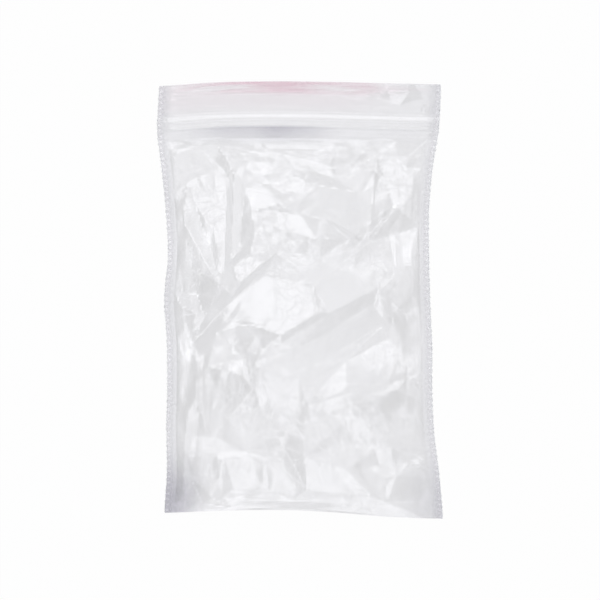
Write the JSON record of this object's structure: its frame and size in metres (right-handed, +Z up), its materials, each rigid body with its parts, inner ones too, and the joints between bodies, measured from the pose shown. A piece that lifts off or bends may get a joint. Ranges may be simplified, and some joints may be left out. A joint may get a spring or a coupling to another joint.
{
  "type": "clear zipper bag",
  "caption": "Flat clear film bag with side welds, a folded bottom and a press-to-close zip under a tinted lip, lying shut and slightly puffed",
  "frame": {"origin": "centre of the bag's footprint, on the surface it lies on", "axes": "+X across the bag, +Y up the bag toward its mouth, +Z up from the table through the films"},
  "size_m": [0.1018, 0.156, 0.0097],
  "materials": {
    "film": "clear, glossy, limp film with a faint milky haze and a pink stripe along the lip"
  },
  "bodies": {
    "root": {"film_bag": "film"}
  },
  "joints": []
}
